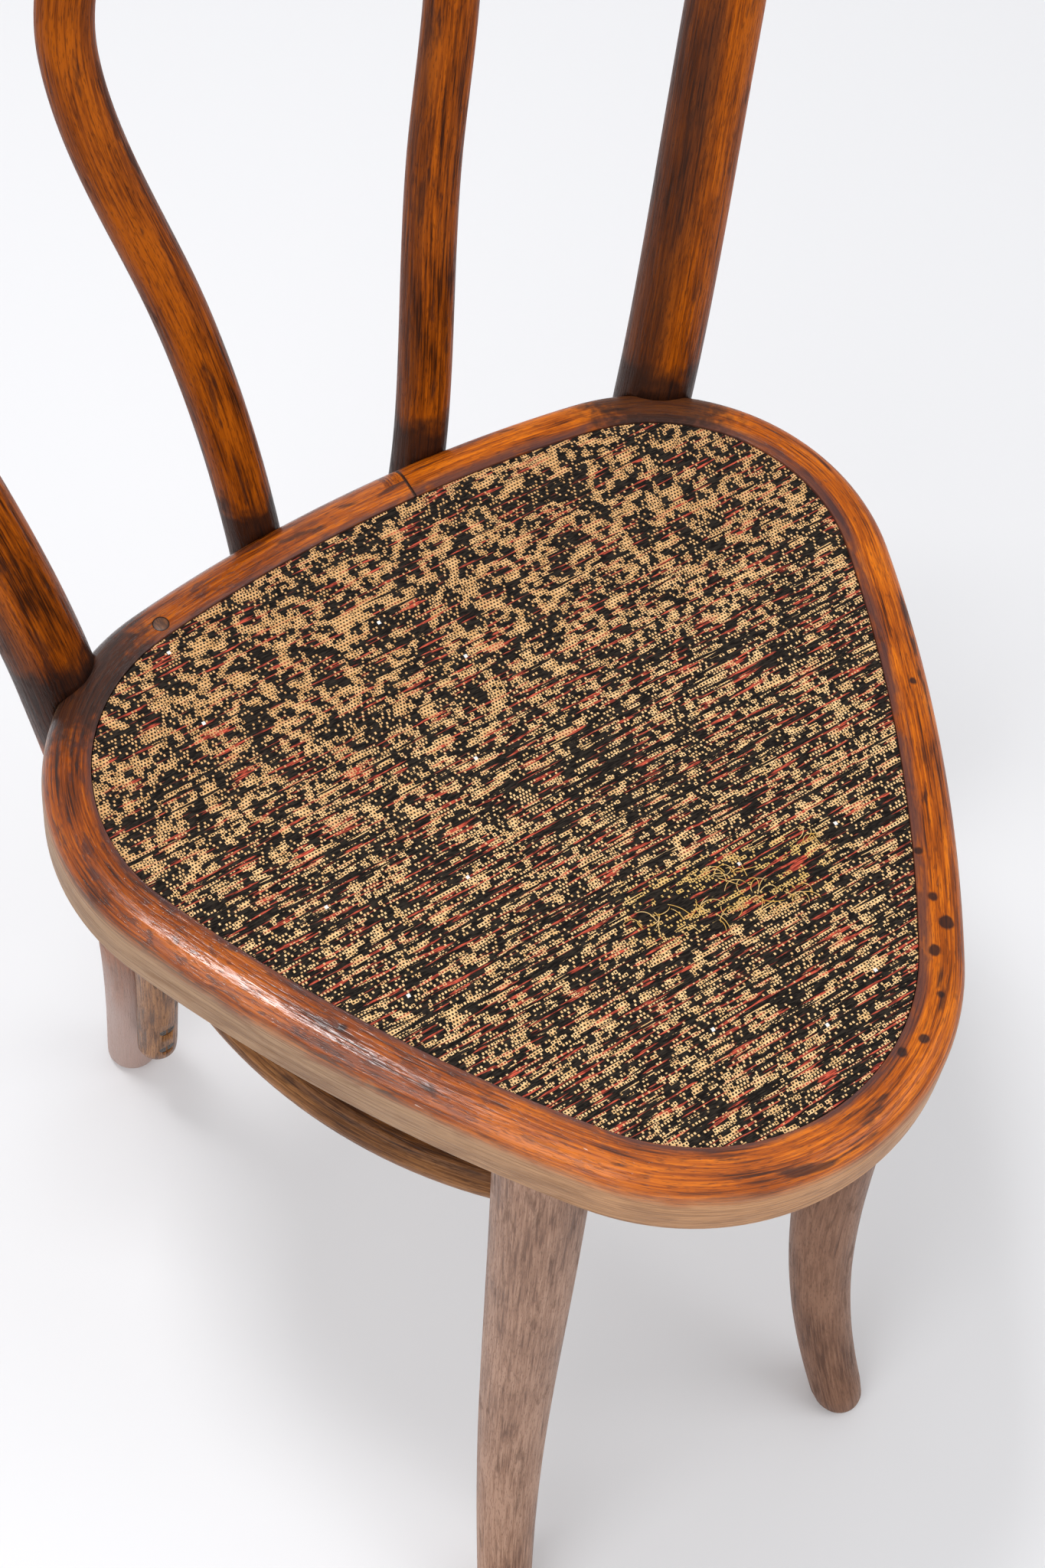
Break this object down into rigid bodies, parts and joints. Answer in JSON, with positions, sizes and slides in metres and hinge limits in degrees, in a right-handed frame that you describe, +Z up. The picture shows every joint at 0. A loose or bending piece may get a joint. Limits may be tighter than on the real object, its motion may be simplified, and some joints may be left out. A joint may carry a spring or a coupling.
{
  "type": "bentwood side chair",
  "caption": "Steam-bent wooden side chair: rounded three-sided upholstered seat, hooped back with inner loop, sabre front legs and a bowed stretcher.",
  "frame": {"origin": "on the floor, under the middle of the chair's bounding box", "axes": "+Z up, front of the seat towards -Y, sitter's left towards +X"},
  "size_m": [0.4348, 0.4911, 0.8915],
  "materials": {
    "bent_wood": "worn glossy shellac over stained beech",
    "plug_wood": "dark end grain",
    "board_wood": "raw plywood",
    "felt": "pressed felt",
    "tapestry": "worn ribbed tapestry weave",
    "dark_steel": "aged dark steel"
  },
  "bodies": {
    "root": {"seat_ring": "bent_wood", "back_bow": "bent_wood", "inner_loop": "bent_wood", "front_leg_left": "bent_wood", "front_leg_right": "bent_wood", "stretcher_bow": "bent_wood", "ring_plug": "plug_wood", "seat_board": "board_wood", "seat_felt": "felt", "seat_cover": "tapestry", "cover_tacks": "dark_steel", "board_screws": "dark_steel", "frame_bolts": "dark_steel", "frame_washers": "dark_steel", "frame_nuts": "dark_steel", "loop_screws": "dark_steel", "stretcher_front_screws": "dark_steel", "stretcher_rear_screws": "dark_steel"}
  },
  "joints": []
}
